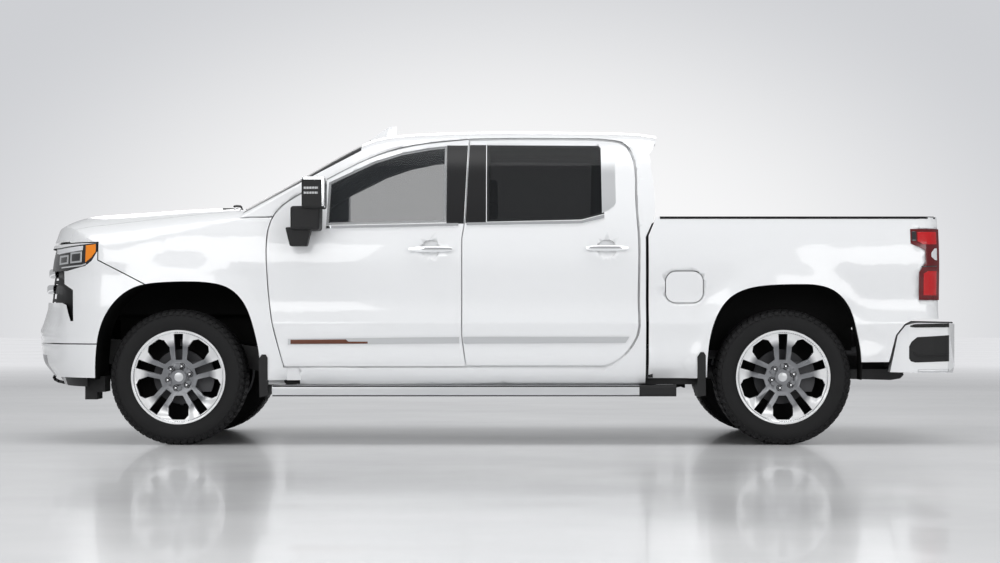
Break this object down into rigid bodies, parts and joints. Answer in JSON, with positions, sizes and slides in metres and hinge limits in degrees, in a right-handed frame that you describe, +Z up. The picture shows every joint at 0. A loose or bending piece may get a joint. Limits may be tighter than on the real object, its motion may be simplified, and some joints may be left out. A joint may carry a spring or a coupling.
{
  "type": "pickup truck",
  "caption": "Full-size crew-cab pickup truck with a short open load bed, hinged doors, hood and tailgate, and steered front wheels",
  "frame": {"origin": "on the ground, halfway along the overall length and width", "axes": "+X to the rear of the truck, +Y to its right-hand side, +Z up"},
  "size_m": [5.8842, 2.43, 2.046],
  "materials": {
    "body_white": "gloss white paint",
    "frame_black": "satin black paint",
    "glass_light": "clear laminated glass with a light tint",
    "glass_dark": "privacy-tinted glass",
    "chrome": "polished chrome",
    "lamp_clear": "clear lamp lens over chrome",
    "lamp_red": "red lamp lens",
    "black_plastic": "grained black plastic",
    "gloss_black": "gloss black plastic",
    "wheel_grey": "machined and painted alloy",
    "tyre": "matt black rubber",
    "cast": "raw casting",
    "steel": "bare steel",
    "trim_dark": "soft-touch plastic",
    "seat_leather": "dark leather",
    "bed_liner": "sprayed bed lining"
  },
  "bodies": {
    "truck": {"frame_rails": "frame_black", "cab_shell": "body_white", "cab_glass": "glass_light", "front_fenders": "body_white", "front_fascia": "body_white", "front_bumper": "body_white", "front_valance": "chrome", "grille": "chrome", "grille_mesh": "gloss_black", "headlamps": "lamp_clear", "radiator": "gloss_black", "engine_block": "cast", "bed_tub": "bed_liner", "bedsides": "body_white", "tail_lamps": "lamp_red", "rear_bumper": "body_white", "running_boards": "steel", "front_suspension": "cast", "rear_axle": "cast", "driveline": "cast", "exhaust": "steel", "fuel_tank": "black_plastic", "spare_wheel": "tyre", "dashboard": "trim_dark", "seats": "seat_leather", "arch_liners": "black_plastic"},
    "hood": {"hood": "body_white"},
    "tailgate": {"tailgate": "body_white"},
    "fuel_door": {"fuel_door": "body_white"},
    "steering_wheel": {"steering_wheel": "trim_dark"},
    "door_front_left": {"door_front_left": "body_white", "door_glass_front_left": "glass_light", "door_trim_front_left": "chrome", "mirror_left": "gloss_black"},
    "door_rear_left": {"door_rear_left": "body_white", "door_glass_rear_left": "glass_dark", "door_trim_rear_left": "chrome"},
    "knuckle_left": {"knuckle_left": "cast"},
    "wheel_front_left": {"wheel_front_left": "wheel_grey", "tyre_front_left": "tyre"},
    "wheel_rear_left": {"wheel_rear_left": "wheel_grey", "tyre_rear_left": "tyre"},
    "door_front_right": {"door_front_right": "body_white", "door_glass_front_right": "glass_light", "door_trim_front_right": "chrome", "mirror_right": "gloss_black"},
    "door_rear_right": {"door_rear_right": "body_white", "door_glass_rear_right": "glass_dark", "door_trim_rear_right": "chrome"},
    "knuckle_right": {"knuckle_right": "cast"},
    "wheel_front_right": {"wheel_front_right": "wheel_grey", "tyre_front_right": "tyre"},
    "wheel_rear_right": {"wheel_rear_right": "wheel_grey", "tyre_rear_right": "tyre"}
  },
  "joints": [
    {"name": "door_front_left_hinge", "type": "hinge", "parent": "truck", "child": "door_front_left", "pos_m": [-1.351, -1.013, 0.9], "axis": [0, 0, 1], "range_deg": [-65, 0]},
    {"name": "door_rear_left_hinge", "type": "hinge", "parent": "truck", "child": "door_rear_left", "pos_m": [-0.143, -1.013, 0.9], "axis": [0, 0, 1], "range_deg": [-65, 0]},
    {"name": "steer_left", "type": "hinge", "parent": "truck", "child": "knuckle_left", "pos_m": [-1.9095, -0.79, 0.419], "axis": [0, 0, 1], "range_deg": [-34, 34]},
    {"name": "wheel_front_left_spin", "type": "hinge", "parent": "knuckle_left", "child": "wheel_front_left", "pos_m": [-1.9095, -0.8725, 0.419], "axis": [0, 1, 0], "continuous": true},
    {"name": "wheel_rear_left_spin", "type": "hinge", "parent": "truck", "child": "wheel_rear_left", "pos_m": [1.8355, -0.8725, 0.419], "axis": [0, 1, 0], "continuous": true},
    {"name": "door_front_right_hinge", "type": "hinge", "parent": "truck", "child": "door_front_right", "pos_m": [-1.351, 1.013, 0.9], "axis": [0, 0, 1], "range_deg": [0, 65]},
    {"name": "door_rear_right_hinge", "type": "hinge", "parent": "truck", "child": "door_rear_right", "pos_m": [-0.143, 1.013, 0.9], "axis": [0, 0, 1], "range_deg": [0, 65]},
    {"name": "steer_right", "type": "hinge", "parent": "truck", "child": "knuckle_right", "pos_m": [-1.9095, 0.79, 0.419], "axis": [0, 0, 1], "range_deg": [-34, 34]},
    {"name": "wheel_front_right_spin", "type": "hinge", "parent": "knuckle_right", "child": "wheel_front_right", "pos_m": [-1.9095, 0.8725, 0.419], "axis": [0, 1, 0], "continuous": true},
    {"name": "wheel_rear_right_spin", "type": "hinge", "parent": "truck", "child": "wheel_rear_right", "pos_m": [1.8355, 0.8725, 0.419], "axis": [0, 1, 0], "continuous": true},
    {"name": "hood_hinge", "type": "hinge", "parent": "truck", "child": "hood", "pos_m": [-1.5, 0, 1.475], "axis": [0, 1, 0], "range_deg": [0, 50]},
    {"name": "tailgate_hinge", "type": "hinge", "parent": "truck", "child": "tailgate", "pos_m": [2.772, 0, 0.8], "axis": [0, 1, 0], "range_deg": [0, 90]},
    {"name": "fuel_door_hinge", "type": "hinge", "parent": "truck", "child": "fuel_door", "pos_m": [1.111, -1.004, 0.977], "axis": [0, 0, 1], "range_deg": [-90, 0]},
    {"name": "steering_wheel_turn", "type": "hinge", "parent": "truck", "child": "steering_wheel", "pos_m": [-0.8995, -0.4, 1.195], "axis": [-0.9063, 0, -0.4226], "range_deg": [-544, 544]}
  ],
  "couplings": [
    {"joint": "steer_right", "follows": "steer_left", "ratio": 1},
    {"joint": "steering_wheel_turn", "follows": "steer_left", "ratio": 16}
  ]
}
